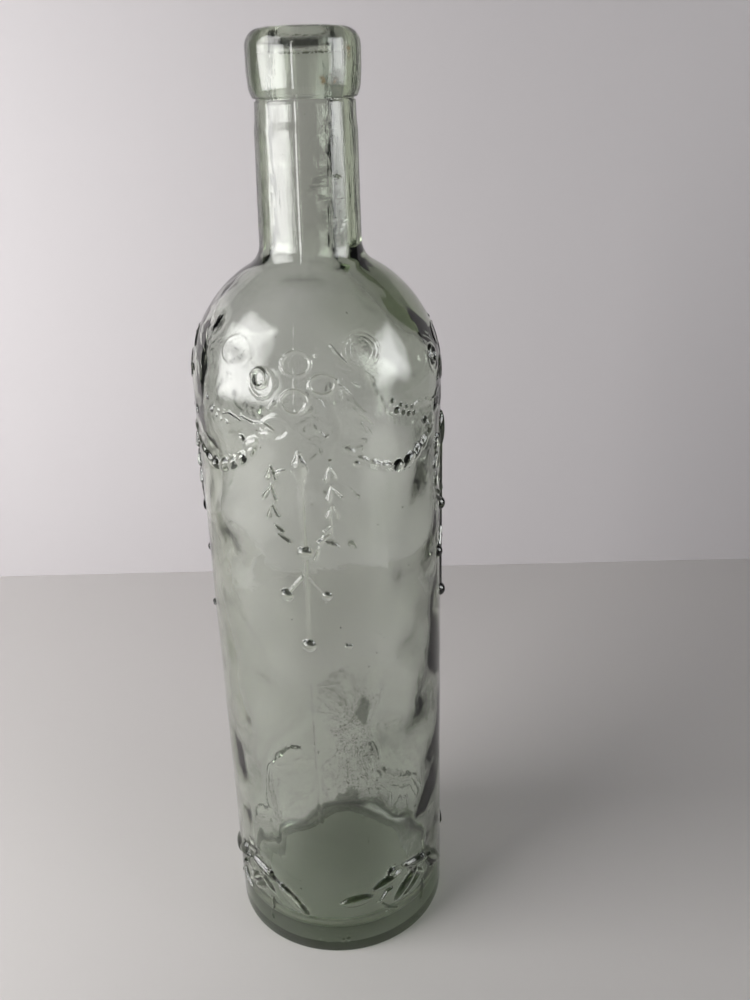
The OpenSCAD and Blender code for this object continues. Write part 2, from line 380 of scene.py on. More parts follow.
def beadRise(job, angle, z, size, height):
    if height < job["least"]:
        return
    co, rise, spare = job["co"], job["rise"], job["spare"]
    centre = onGlass(angle, z)
    near = nearby(co, [centre], size * mm / 2 + spare)
    gap = np.linalg.norm(co[near] - centre, axis=1)
    ball = size * mm / 2
    tall = np.sqrt(np.clip(ball ** 2 - gap ** 2, 0, None)) - (ball - height * mm)
    if spare:
        tall = (gap < ball + spare) * 1e-4
    rise[near] = np.maximum(rise[near], np.clip(tall, 0, None))


def ringRise(job, angle, z, halfWide, halfHigh, thick, height):
    turns = np.linspace(0, 2 * math.pi, 25)
    perMm = 1 / math.radians(1) / float(outsideRadius(z * mm)) * mm
    slope = math.cos(math.asin(min(1, max(0, (z - 200) / 37.5))))
    points = [onGlass(angle + halfWide * math.sin(t) * perMm, z + halfHigh * math.cos(t) * slope)
              for t in turns]
    strokeRise(job, points, [thick * mm] * 25, height * mm)


def swagHeight(angle, r):
    return r["swagLow"] + r["swagDrop"] * ((angle - r["swagMiddle"]) / r["swagHalf"]) ** 2


# one panel, for points already turned to the front. The back one has no flower and no middle
# bead, and only the front one has rosettes
def raisePanel(job, r, atBack, atFront):
    perMm = 1 / math.radians(1) / bottle["bodyR"]
    smooth = r["loops"] + ([] if atBack else r["flower"])
    # raised for the painted shade, the smooth rings, the cord and the worn leaves are left out
    for ring in ([] if job["forShade"] else smooth) + (r["rosettes"] if atFront else []):
        ringRise(job, *ring)
    if not atBack:
        ringRise(job, *r["eyelet"])
    if not job["forShade"]:
        for points, half, height in r["cord"]:
            strokeRise(job, [onGlass(*p) for p in points], [half * mm] * 2, height * mm, 0.6)
        for leaf in r["worn"]:
            leafRise(job, *leaf)
    for bead in r["beads"][atBack:]:
        beadRise(job, *bead)
    for points, first, middle, last, height in r["strokes"]:
        if atBack and points[0][1] > r["shoulder"]:
            continue
        where = [onGlass(*p) for p in points]
        widths = np.interp(np.linspace(0, 2, len(points)), [0, 1, 2], (first, middle, last)) * mm
        strokeRise(job, where, list(widths), height * mm)
    for leaf in r["leaves"] + r["spray"]:
        leafRise(job, *leaf)
    for side in (-1, 1):
        for (angle, z), (toAngle, toZ) in r["blades"]:
            points = [onGlass(side * (angle + (toAngle - angle) * t), z + (toZ - z) * t)
                      for t in (0, 0.4, 0.8, 1)]
            strokeRise(job, points, [w * mm for w in r["bladeWidths"]], r["bladeRise"] * mm)
    for angle, long, half, height in r["swagLeaves"]:
        past = angle - r["swagMiddle"]
        slope = 2 * r["swagDrop"] * past / r["swagHalf"] ** 2 / perMm
        a = math.atan(slope) + math.radians(r["swagTurn"] * (1 if past > 0 else r["swagTurnBack"]))
        across, up = long / 2 * math.cos(a) * perMm, long / 2 * math.sin(a)
        z = swagHeight(angle, r)
        leafRise(job, (angle - across, z - up), (angle + across, z + up), half, height)
    strokeRise(job, [onGlass(*p) for p in r["sprayStem"]], [r["stemHalf"] * mm] * 3,
               r["stemRise"] * mm)


def raiseSeam(job, s):
    co = job["co"]
    near = np.nonzero((np.abs(co[:, 0]) < 0.004) & (co[:, 2] > s["low"] * mm)
                      & (co[:, 2] < s["high"] * mm))[0]
    x = np.clip(1 - (np.abs(co[near, 0]) / (s["halfWidth"] * mm + job["spare"])) ** 2, 0, 1)
    job["rise"][near] = x * s["rise"] * mm


def raiseStipple(job, s):
    rng = np.random.default_rng(s["seed"])
    for k in range(s["count"]):
        angle, z = rng.uniform(-s["spread"], s["spread"]), rng.uniform(s["low"], s["high"])
        beadRise(job, angle, z, s["size"] * rng.uniform(0.8, 1.5), s["rise"])


# height of the relief over the glass at each point, from features tall and narrow enough
def reliefRise(co, spare=0.0, least=0.0, widest=anyWidth, forShade=False):
    total = np.zeros(len(co))
    # raised for the painted shade, the seam is left out as well
    if least < relief["seam"]["rise"] and not forShade:
        raiseSeam({"co": co, "rise": total, "spare": spare}, relief["seam"])
    depth = outsideRadius(co[:, 2]) - np.hypot(co[:, 0], co[:, 1])
    for k in range(relief["panels"]):
        a = -math.radians(360 / relief["panels"]) * k
        turned = co.copy()
        turned[:, 0] = co[:, 0] * math.cos(a) - co[:, 1] * math.sin(a)
        turned[:, 1] = co[:, 0] * math.sin(a) + co[:, 1] * math.cos(a)
        job = {"co": turned, "rise": np.zeros(len(co)), "spare": spare, "least": least,
               "widest": widest, "forShade": forShade}
        raisePanel(job, relief, k * 2 == relief["panels"], k == 0)
        if k % 2 == 0:
            raiseStipple(job, relief["stipple"])
        if k % 2:  # the flowers at the sides are worn, and so is the spray at the back
            job["rise"] *= np.where(co[:, 2] > relief["shoulder"] * mm, relief["sideWear"], 1.0)
        elif k:
            job["rise"] *= np.where(co[:, 2] < relief["sprayTop"] * mm, relief["backWear"], 1.0)
        total = np.maximum(total, job["rise"])
    if widest < anyWidth:  # the finest cells only where they are looked at
        total *= co[:, 1] < relief["frontTo"] * mm
    return total * (depth < relief["skin"] * mm)


# the faces that the relief touches at a corner, at the middle of an edge or at their centre
def facesUnder(mesh, co, *wanted):
    def numbers(items, key, width=1):
        values = np.zeros(len(items) * width, np.float64 if key == "center" else np.int64)
        items.foreach_get(key, values)
        return values.reshape(-1, width) if width > 1 else values
    centres = numbers(mesh.polygons, "center", 3)
    starts = numbers(mesh.polygons, "loop_start")
    corners = numbers(mesh.loops, "vertex_index")
    sides = numbers(mesh.loops, "edge_index")
    edges = numbers(mesh.edges, "vertices", 2)
    middles = (co[edges[:, 0]] + co[edges[:, 1]]) / 2
    onCorner = reliefRise(co, *wanted)[corners] > 0
    onSide = reliefRise(middles, *wanted)[sides] > 0
    onCentre = reliefRise(centres, *wanted) > 0
    return np.logical_or.reduceat(onCorner | onSide, starts) | onCentre


# cuts the faces under the relief into cells fine enough to carry it
def refineRelief(piece, passes):
    mesh = piece.data
    for least, widest in passes:
        chosen = facesUnder(mesh, coordsOf(piece), relief["spare"] * mm, least, widest)
        selectOnly(piece)
        bpy.ops.object.mode_set(mode="EDIT")
        bpy.ops.mesh.select_all(action="DESELECT")
        bpy.ops.mesh.select_mode(type="FACE")
        bpy.ops.object.mode_set(mode="OBJECT")
        mesh.polygons.foreach_set("select", chosen)
        bpy.ops.object.mode_set(mode="EDIT")
        bpy.ops.mesh.subdivide(number_cuts=1)
        bpy.ops.object.mode_set(mode="OBJECT")
        co = coordsOf(piece)  # the new points settle on the true outline
        low, high = relief["settled"]
        outside = ~insideMask(co) & (co[:, 2] > low * mm) & (co[:, 2] < high * mm)
        r = np.hypot(co[:, 0], co[:, 1])
        scale = np.where(outside, outsideRadius(co[:, 2]) / np.maximum(r, 1e-9), 1.0)
        co[:, 0] *= scale
        co[:, 1] *= scale
        setCoords(piece, co)
        print("relief cut in:", len(mesh.polygons), "faces")


def raiseRelief(piece):
    co = coordsOf(piece)
    rise = reliefRise(co)
    addGroup(piece, "relief", rise / (relief["deepest"] * mm))
    displace(piece, "raiseRelief", "relief", relief["deepest"] * mm)
    # the second rise is that of the parts that get painted shade
    return rise, reliefRise(co, forShade=True)


refineRelief(glass, relief["passes"])
fullRise, shadedRise = raiseRelief(glass)


# hand of the maker: uneven inner wall, lean of the neck, gentle ripples outside
handwork = {
    "innerWave": 3.0, "innerCell": 0.026, "innerRipple": 1.0, "rippleCell": 0.013,
    "outerWave": 0.22, "outerCell": 0.020, "boreRipple": 0.6, "boreCell": 0.0042,
    "shoulderShift": (-2.0, -0.2), "neckShift": (-0.9, -0.1), "neckLean": (0.5, 0.05),
    "thickShift": 4.0, "thickSide": (0.0, 0.022), "widest": 0.03908,
    # heights in metres between which each effect comes in and goes out again
    "wallZone": ((0.012, 0.03), (0.225, 0.245)), "outsideZone": ((0.006, 0.02), (0.262, 0.272)),
    "boreZone": ((0.228, 0.240), (0.286, 0.2915)), "thickZone": ((0.206, 0.222), (0.226, 0.242)),
    "shoulderZone": ((0.186, 0.222), (0.224, 0.246)), "neckZone": ((0.224, 0.246), (0.278, 0.290)),
    "leanZone": (0.235, 0.294),
}


def cloudTexture(name, size, depth=1):
    texture = bpy.data.textures.new(name, "CLOUDS")
    texture.noise_scale = size
    texture.noise_depth = depth
    return texture


# 1 within the zone, and 0 below and above it
def within(z, zone):
    return smoothStep(z, *zone[0]) * (1 - smoothStep(z, *zone[1]))


def makeUneven(piece, h):
    co = coordsOf(piece)
    inner = insideMask(co)
    z = co[:, 2]
    addGroup(piece, "innerWall", inner * within(z, h["wallZone"]))
    addGroup(piece, "outerWall", ~inner * within(z, h["outsideZone"]))
    addGroup(piece, "boreWall", inner * within(z, h["boreZone"]))
    low = inner * within(z, h["shoulderZone"])
    high = inner * within(z, h["neckZone"])
    lean = smoothStep(z, *h["leanZone"])
    for axis in (0, 1):
        co[:, axis] += (low * h["shoulderShift"][axis] + high * h["neckShift"][axis]) * mm
        co[:, axis] += lean * h["neckLean"][axis] * mm
    thick = inner * within(z, h["thickZone"])  # the right side of the shoulder is thicker
    co[:, 0] -= thick * smoothStep(co[:, 0], *h["thickSide"]) * h["thickShift"] * mm
    setCoords(piece, co)
    displace(piece, "innerWaves", "innerWall", h["innerWave"] * mm, 0.5,
             cloudTexture("innerWaves", h["innerCell"]))
    displace(piece, "innerRipples", "innerWall", h["innerRipple"] * mm, 0.5,
             cloudTexture("innerRipples", h["rippleCell"], 2))
    displace(piece, "boreRipples", "boreWall", h["boreRipple"] * mm, 0.5,
             cloudTexture("boreRipples", h["boreCell"], 2))
    displace(piece, "outerWaves", "outerWall", h["outerWave"] * mm, 0.55,
             cloudTexture("outerWaves", h["outerCell"]))
    co = coordsOf(piece)  # the crests of the relief stay within the bottle's own size
    reach = np.abs(co[:, :2]).max(1)
    scale = np.where(reach > h["widest"], h["widest"] / np.maximum(reach, 1e-9), 1.0)
    co[:, :2] *= scale[:, None]
    setCoords(piece, co)


makeUneven(glass, handwork)


def addAttribute(piece, name, values):
    held = piece.data.attributes.new(name, "FLOAT", "POINT")
    held.data.foreach_set("value", values.astype(np.float32))


addAttribute(glass, "cavity", insideMask(coordsOf(glass)))

# painted shade on the relief: the directions it faces and how steep they are, the rise of the
# relief that carries it, and the zones with less of it. Lengths in metres, the unshaded patch by
# angle and height
beadShadeLook = {
    "up": 0.93, "aside": 0.37, "slope": (0.22, 0.45), "rise": (0.00008, 0.0003),
    "raised": (0.00012, 0.0004), "lowTo": 0.045, "lowLessShade": 0.18,
    "behindFrom": 0.012, "behind": 0.2, "unshadedPatch": ((3.5, 17), (0.1612, 0.187)), "unshadedShare": 0.12,
}


# painted shade: the upper side, and a little the side facing right, of whatever stands out of the
# glass is painted dark
def paintBeadShade(piece, d):
    co = coordsOf(piece)
    normals = np.zeros(len(co) * 3)
    piece.data.vertex_normals.foreach_get("vector", normals)
    normals = normals.reshape(-1, 3)
    z = co[:, 2]
    slope = (outsideRadius(z + 0.0005) - outsideRadius(z - 0.0005)) / 0.001
    length = np.hypot(slope, 1.0)
    r = np.maximum(np.hypot(co[:, 0], co[:, 1]), 1e-9)
    outward = (normals[:, 0] * co[:, 0] + normals[:, 1] * co[:, 1]) / r
    up = (normals[:, 2] + outward * slope) / length
    aside = (normals[:, 1] * co[:, 0] - normals[:, 0] * co[:, 1]) / r
    facing = up * d["up"] + aside * d["aside"]
    facing -= np.where(z < d["lowTo"], d["lowLessShade"], 0.0)
    paintedShade = smoothStep(facing, *d["slope"]) * smoothStep(shadedRise, *d["rise"])
    paintedShade *= np.where(co[:, 1] > d["behindFrom"], d["behind"], 1.0)
    angle = np.degrees(np.arctan2(co[:, 0], -co[:, 1]))
    (left, right), (low, high) = d["unshadedPatch"]
    unshadedPatch = (angle > left) & (angle < right) & (z > low) & (z < high)
    paintedShade *= np.where(unshadedPatch, d["unshadedShare"], 1.0)
    addAttribute(piece, "paintedShade", paintedShade)
    addAttribute(piece, "raised", smoothStep(fullRise, *d["raised"]) * (1 - paintedShade))


paintBeadShade(glass, beadShadeLook)

selectOnly(glass)
bpy.ops.object.mode_set(mode="EDIT")
bpy.ops.mesh.select_all(action="SELECT")
bpy.ops.mesh.quads_convert_to_tris(quad_method="SHORTEST_DIAGONAL", ngon_method="BEAUTY")
bpy.ops.mesh.select_all(action="DESELECT")
bpy.ops.object.mode_set(mode="OBJECT")
bpy.ops.object.shade_smooth()
print("bottle finished:", len(glass.data.polygons), "triangles")


# material
glassLook = {
    "tint": (0.985, 1.0, 0.985, 1.0), "ior": 1.5,
    "absorbColour": (0.575, 0.63, 0.50, 1.0), "absorbDensity": 84.0,
    "shadow": (0.36, 0.38, 0.36, 1.0),
    "neckColour": (0.96, 0.95, 0.96, 1.0), "filmColour": (0.845, 0.86, 0.85, 1.0),
    "residueColour": (0.09, 0.095, 0.075, 1.0), "hazeColour": (0.66, 0.66, 0.62, 1.0),
    # on the next line the first colour is painted shade for the upper sides of the relief, the
    # cuts and the band under the lip; the second colours the smudges and paints shade along the
    # inner corner
    "paintedShadeColour": (0.01, 0.012, 0.009, 1.0), "smudgeAndShadeColour": (0.14, 0.16, 0.13, 1.0),
    "rustColour": (0.36, 0.20, 0.09, 1.0), "grimeColour": (0.05, 0.045, 0.035, 1.0),
    # patches: the middle of each in metres, and its reach along x, y and z
    "residue": ((0.0035, 0.0335, 0.036), (0.021, 0.020, 0.038)),
    "residueLow": ((-0.028, 0.013, 0.017), (0.010, 0.014, 0.013)),
    "smudge": ((0.006, 0.0335, 0.054), (0.0055, 0.02, 0.009)),
    "smudgeLow": ((-0.003, 0.0330, 0.0128), (0.0090, 0.02, 0.0058)),
    "rust": ((0.0090, -0.0122, 0.2808), (0.0036, 0.004, 0.0022)),
    "rustHigh": ((0.0130, -0.0078, 0.2880), (0.0022, 0.004, 0.0030)),
    "rosette": ((0.0150, -0.0266, 0.2143), (0.0052, 0.0060, 0.0048)),
    "scratches": ((0.0075, -0.0118, 0.2545), (0.0065, 0.006, 0.0045)),
    "hatch": ((0.0092, -0.0108, 0.2472), (0.0040, 0.006, 0.0055)),
    # broken lines: their scale, width and gaps
    "residueLines": (330.0, 0.018, 0.54), "residueThreads": (620.0, 0.04, 0.56),
    "scratchLines": (500.0, 0.04, 0.42), "rosetteLines": (480.0, 0.035, 0.40),
    # specks: their scale and how few there are
    "crumbs": (1300.0, 2.0, 0.66), "specks": (640.0, 1.0, 0.815), "ringGaps": (1500.0, 2.0, 0.50),
    # heights in metres, with the half width or the ramp that goes with them
    # the corner line is painted shade where the inner floor meets the wall
    "cornerShadeLine": (0.0095, 0.0036, 0.0008), "cornerShadeFrom": (0.004, 0.014),
    # the second entry on the next line, the lip band, is painted shade under the lip
    "mouthRing": (0.2876, 0.00032), "lipShadeBand": (0.2897, 0.0008, 0.0005),
    "neckFrom": (0.232, 0.246), "neckBumpsFrom": (0.234, 0.241),
    "softZone": ((0.08, 0.12), (0.225, 0.20)), "groundZone": ((0.2775, 0.2790), (0.2885, 0.2872)),
    "hollowTop": 0.0021, "hollowRadius": 0.0288,
    # how much of each there is, the painted shade among them
    "hazeAmount": 0.6, "smudgeAndShadeAmount": 0.95, "cutShade": 0.35, "paintedShadeAmount": 0.95,
    "lipShadeAmount": 0.85,
    "roughness": 0.008, "filmRoughness": 0.035, "dirtRoughness": 0.35, "softRoughness": 0.075,
    "groundRoughness": 0.34, "hollowRoughness": 0.55,
    "peelScale": 210.0, "peelHeight": 0.10, "fineScale": 900.0, "fineHeight": 0.02,
    "streakScale": 520.0, "streakHeight": 0.22, "streakStretch": 0.07, "boreHeight": 0.38,
    "rubbleScale": 520.0, "rubbleHeight": 0.2, "cutHeight": -0.4, "dirtHeight": 0.3,
    "bumpDistance": 0.0004,
}


# a node with its sockets set by name or number: a socket is linked, a value is written
def put(tree, kind, where=None, **props):
    node = tree.nodes.new(kind)
    for key, value in props.items():
        setattr(node, key, value)
    for key, value in (where or {}).items():
        if isinstance(value, bpy.types.NodeSocket):
            tree.links.new(value, node.inputs[key])
        else:
            node.inputs[key].default_value = value
    return node


def maths(tree, operation, *values, clamp=False):
    return put(tree, "ShaderNodeMath", dict(enumerate(values)), operation=operation,
               use_clamp=clamp).outputs[0]


def product(tree, first, *others):
    for value in others:
        first = maths(tree, "MULTIPLY", first, value)
    return first


def largest(tree, first, *others):
    for value in others:
        first = maths(tree, "MAXIMUM", first, value)
    return first


# how far a value is from a level, on either side
def awayFrom(tree, value, level):
    return maths(tree, "ABSOLUTE", maths(tree, "SUBTRACT", value, level))


def vectors(tree, operation, *values):
    node = put(tree, "ShaderNodeVectorMath", dict(enumerate(values)), operation=operation)
    return node.outputs["Value" if operation in ("LENGTH", "DOT_PRODUCT") else "Vector"]


def mixed(tree, factor, first, second):
    return put(tree, "ShaderNodeMix", {0: factor, 6: first, 7: second},
               data_type="RGBA").outputs[2]


def noiseAt(tree, position, scale, detail=2.0, roughness=0.5):
    return put(tree, "ShaderNodeTexNoise", {"Vector": position, "Scale": scale, "Detail": detail,
                                            "Roughness": roughness}).outputs[0]


def ramped(tree, value, low, high):
    return put(tree, "ShaderNodeMapRange", {"Value": value, "From Min": low, "From Max": high},
               interpolation_type="SMOOTHSTEP").outputs[0]


def attribute(tree, name):
    return put(tree, "ShaderNodeAttribute", attribute_name=name).outputs["Fac"]


def startGroup(name, inputs, outputs):
    group = bpy.data.node_groups.new(name, "ShaderNodeTree")
    for label, kind in inputs:
        group.interface.new_socket(label, in_out="INPUT", socket_type=kind)
    for label, kind in outputs:
        group.interface.new_socket(label, in_out="OUTPUT", socket_type=kind)
    return group, group.nodes.new("NodeGroupInput"), group.nodes.new("NodeGroupOutput")


# a soft oval patch round a point, with a ragged edge
def makePatchGroup(edgeScale=160.0, edgeWidth=0.35):
    group, given, out = startGroup("softPatch", [
        ("Position", "NodeSocketVector"), ("Middle", "NodeSocketVector"),
        ("Reach", "NodeSocketVector"), ("Ragged", "NodeSocketFloat")],
        [("Mask", "NodeSocketFloat")])
    away = vectors(group, "SUBTRACT", given.outputs["Position"], given.outputs["Middle"])
    away = vectors(group, "LENGTH", vectors(group, "DIVIDE", away, given.outputs["Reach"]))
    edge = maths(group, "SUBTRACT", noiseAt(group, given.outputs["Position"], edgeScale, 3.0), 0.5)
    edge = maths(group, "MULTIPLY_ADD", edge, given.outputs["Ragged"], away)
    group.links.new(ramped(group, maths(group, "SUBTRACT", 1.0, edge), 0.0, edgeWidth),
                    out.inputs["Mask"])
    return group


# thin broken lines that wander, as dried dirt and scratches leave them
def makeLineGroup(gapScale=2.2):
    group, given, out = startGroup("brokenLines", [
        ("Position", "NodeSocketVector"), ("Scale", "NodeSocketFloat"),
        ("Width", "NodeSocketFloat"), ("Gaps", "NodeSocketFloat")],
        [("Mask", "NodeSocketFloat")])
    wander = noiseAt(group, given.outputs["Position"], given.outputs["Scale"], 3.5, 0.62)
    thin = maths(group, "LESS_THAN", awayFrom(group, wander, 0.5), given.outputs["Width"])
    often = maths(group, "MULTIPLY", given.outputs["Scale"], gapScale)
    kept = maths(group, "GREATER_THAN", noiseAt(group, given.outputs["Position"], often, 2.0),
                 given.outputs["Gaps"])
    group.links.new(maths(group, "MULTIPLY", thin, kept), out.inputs["Mask"])
    return group


patchGroup = makePatchGroup()
lineGroup = makeLineGroup()


def patch(tree, position, spot, ragged=0.6):
    middle, reach = spot
    return put(tree, "ShaderNodeGroup", {"Position": position, "Middle": middle, "Reach": reach,
                                         "Ragged": ragged}, node_tree=patchGroup).outputs[0]


def brokenLines(tree, position, kind):
    scale, width, gaps = kind
    return put(tree, "ShaderNodeGroup", {"Position": position, "Scale": scale, "Width": width,
                                         "Gaps": gaps}, node_tree=lineGroup).outputs[0]


def speckled(tree, position, kind):
    scale, detail, few = kind
    return maths(tree, "GREATER_THAN", noiseAt(tree, position, scale, detail), few)


# masks of what dirties the glass, what is cut into it, and where shade is painted
def dirtMasks(tree, look, place, height, cavity):
    # dried residue low down inside, at the back
    area = largest(tree, patch(tree, place, look["residue"], 1.5),
                   patch(tree, place, look["residueLow"], 1.5))
    area = product(tree, area, cavity)
    lines = largest(tree, brokenLines(tree, place, look["residueLines"]),
                    brokenLines(tree, place, look["residueThreads"]),
                    speckled(tree, place, look["crumbs"]))
    haze = ramped(tree, noiseAt(tree, place, 110.0, 4.0, 0.6), 0.50, 0.64)
    # two smudges over it, and a line of painted shade where the floor meets the back wall
    smudge = largest(tree, patch(tree, place, look["smudge"], 1.2),
                     patch(tree, place, look["smudgeLow"], 0.5))
    level, half, sharp = look["cornerShadeLine"]
    depth = put(tree, "ShaderNodeSeparateXYZ", {0: place}).outputs[1]
    cornerShade = product(tree, ramped(tree, awayFrom(tree, height, level), half, sharp),
                     ramped(tree, depth, *look["cornerShadeFrom"]))

    # scratches on the neck and fine lines over the rosette, on the outside only
    tilted = put(tree, "ShaderNodeMapping", {"Vector": place, "Rotation": (0.3, 0.5, 0.2),
                                             "Scale": (0.22, 0.3, 1.0)}).outputs[0]
    cuts = product(tree, brokenLines(tree, tilted, look["scratchLines"]),
                   largest(tree, patch(tree, place, look["scratches"]),
                           patch(tree, place, look["hatch"])))
    scribble = product(tree, brokenLines(tree, place, look["rosetteLines"]),
                       patch(tree, place, look["rosette"], 0.3))
    onOutside = maths(tree, "SUBTRACT", 1.0, cavity)

    # a few specks of grime, a broken ring of it inside the mouth, and over that a band of painted
    # shade under the lip
    level, half = look["mouthRing"]
    ring = maths(tree, "LESS_THAN", awayFrom(tree, height, level), half)
    ring = product(tree, ring, cavity, speckled(tree, place, look["ringGaps"]))
    level, half, sharp = look["lipShadeBand"]
    lip = product(tree, ramped(tree, awayFrom(tree, height, level), half, sharp), cavity,
                  look["lipShadeAmount"])
    rust = largest(tree, patch(tree, place, look["rust"], 1.6),
                   patch(tree, place, look["rustHigh"], 1.6))
    rust = product(tree, rust, ramped(tree, noiseAt(tree, place, 420.0, 4.0, 0.65), 0.40, 0.62))
    return {
        "lines": product(tree, lines, area), "haze": product(tree, haze, area, look["hazeAmount"]),
        "smudge": product(tree, largest(tree, smudge, cornerShade), cavity, look["smudgeAndShadeAmount"]),
        "cuts": product(tree, largest(tree, cuts, scribble), onOutside),
        "grime": largest(tree, speckled(tree, place, look["specks"]), ring),
        "lip": lip, "rust": rust,
    }


# a pale film lies on the outside between the raised parts, and the dirt and the painted shade lie
# over it
def glassColour(tree, look, height, cavity, dirt):
    bare = largest(tree, attribute(tree, "raised"), cavity)
    colour = mixed(tree, bare, look["filmColour"], look["tint"])
    inNeck = product(tree, ramped(tree, height, *look["neckFrom"]), cavity)
    colour = mixed(tree, inNeck, colour, look["neckColour"])
    colour = mixed(tree, dirt["haze"], colour, look["hazeColour"])
    colour = mixed(tree, dirt["smudge"], colour, look["smudgeAndShadeColour"])
    colour = mixed(tree, dirt["lines"], colour, look["residueColour"])
    colour = mixed(tree, dirt["rust"], colour, look["rustColour"])
    colour = mixed(tree, dirt["grime"], colour, look["grimeColour"])
    # painted shade: dark on the upper sides of the relief, a share of it in the cuts, and the band
    # under the lip
    paintedShade = largest(tree, attribute(tree, "paintedShade"), product(tree, dirt["cuts"], look["cutShade"]))
    paintedShade = largest(tree, product(tree, paintedShade, look["paintedShadeAmount"]), dirt["lip"])
    return mixed(tree, paintedShade, colour, look["paintedShadeColour"])


# clean glass, a faint film, matt dirt, a soft inner wall, the ground bore inside the collar
# and the frosted hollow under the base
def glassRoughness(tree, look, place, height, cavity, dirt):
    film = ramped(tree, noiseAt(tree, place, 60.0, 4.0, 0.65), 0.55, 0.85)
    rough = maths(tree, "MULTIPLY_ADD", film, look["filmRoughness"], look["roughness"])
    matt = largest(tree, dirt["haze"], largest(tree, dirt["rust"], dirt["grime"]))
    rough = maths(tree, "MULTIPLY_ADD", matt, look["dirtRoughness"], rough)
    for zone, roughness in (("softZone", "softRoughness"), ("groundZone", "groundRoughness")):
        rise, fall = look[zone]
        mask = product(tree, ramped(tree, height, *rise), ramped(tree, height, *fall), cavity)
        rough = maths(tree, "MULTIPLY_ADD", mask, look[roughness], rough)
    across = vectors(tree, "LENGTH", vectors(tree, "MULTIPLY", place, (1.0, 1.0, 0.0)))
    hollow = product(tree, maths(tree, "LESS_THAN", height, look["hollowTop"]),
                     maths(tree, "LESS_THAN", across, look["hollowRadius"]))
    return maths(tree, "MULTIPLY_ADD", hollow, look["hollowRoughness"], rough, clamp=True)


# orange peel everywhere, drawn streaks and rubble in the neck, and the cuts and the dirt
def glassBumps(tree, look, place, height, cavity, dirt):
    peel = product(tree, noiseAt(tree, place, look["peelScale"], 2.0), look["peelHeight"])
    fine = product(tree, noiseAt(tree, place, look["fineScale"], 2.0), look["fineHeight"])
    drawn = put(tree, "ShaderNodeMapping", {
        "Vector": place, "Scale": (1.0, 1.0, look["streakStretch"])}).outputs[0]
    inNeck = ramped(tree, height, *look["neckBumpsFrom"])
    streaks = product(tree, inNeck, noiseAt(tree, drawn, look["streakScale"], 3.0, 0.6))
    streaks = product(tree, streaks, maths(tree, "MULTIPLY_ADD", cavity, look["boreHeight"],
                                           look["streakHeight"]))
    rubble = product(tree, noiseAt(tree, place, look["rubbleScale"], 3.0, 0.65),
                     look["rubbleHeight"])
    rubble = product(tree, product(tree, inNeck, cavity), rubble)
    bump = maths(tree, "ADD", maths(tree, "ADD", peel, fine), maths(tree, "ADD", streaks, rubble))
    bump = maths(tree, "MULTIPLY_ADD", dirt["cuts"], look["cutHeight"], bump)
    bump = maths(tree, "MULTIPLY_ADD", largest(tree, dirt["lines"], dirt["grime"]),
                 look["dirtHeight"], bump)
    return put(tree, "ShaderNodeBump", {"Height": bump, "Strength": 1.0,
                                        "Distance": look["bumpDistance"]}).outputs[0]


def makeGlass(look):
    mat = bpy.data.materials.new("bottleGlass")
    mat.use_nodes = True
    tree = mat.node_tree
    tree.nodes.clear()
    place = put(tree, "ShaderNodeTexCoord").outputs["Object"]
    cavity = attribute(tree, "cavity")
    height = put(tree, "ShaderNodeSeparateXYZ", {0: place}).outputs[2]
    dirt = dirtMasks(tree, look, place, height, cavity)
    shader = put(tree, "ShaderNodeBsdfPrincipled", {
        "Base Color": glassColour(tree, look, height, cavity, dirt),
        "Roughness": glassRoughness(tree, look, place, height, cavity, dirt),
        "IOR": look["ior"], "Transmission Weight": 1.0,
        "Normal": glassBumps(tree, look, place, height, cavity, dirt)})
    clear = put(tree, "ShaderNodeBsdfTransparent", {"Color": look["shadow"]})
    isShadow = put(tree, "ShaderNodeLightPath").outputs["Is Shadow Ray"]
    mix = put(tree, "ShaderNodeMixShader", {0: isShadow, 1: shader.outputs[0],
                                            2: clear.outputs[0]})
    absorb = put(tree, "ShaderNodeVolumeAbsorption", {"Color": look["absorbColour"],
                                                      "Density": look["absorbDensity"]})
    put(tree, "ShaderNodeOutputMaterial", {"Surface": mix.outputs[0],
                                           "Volume": absorb.outputs[0]})
    return mat


glass.data.materials.clear()
glass.data.materials.append(makeGlass(glassLook))
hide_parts("bottle")
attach(glass, "root")


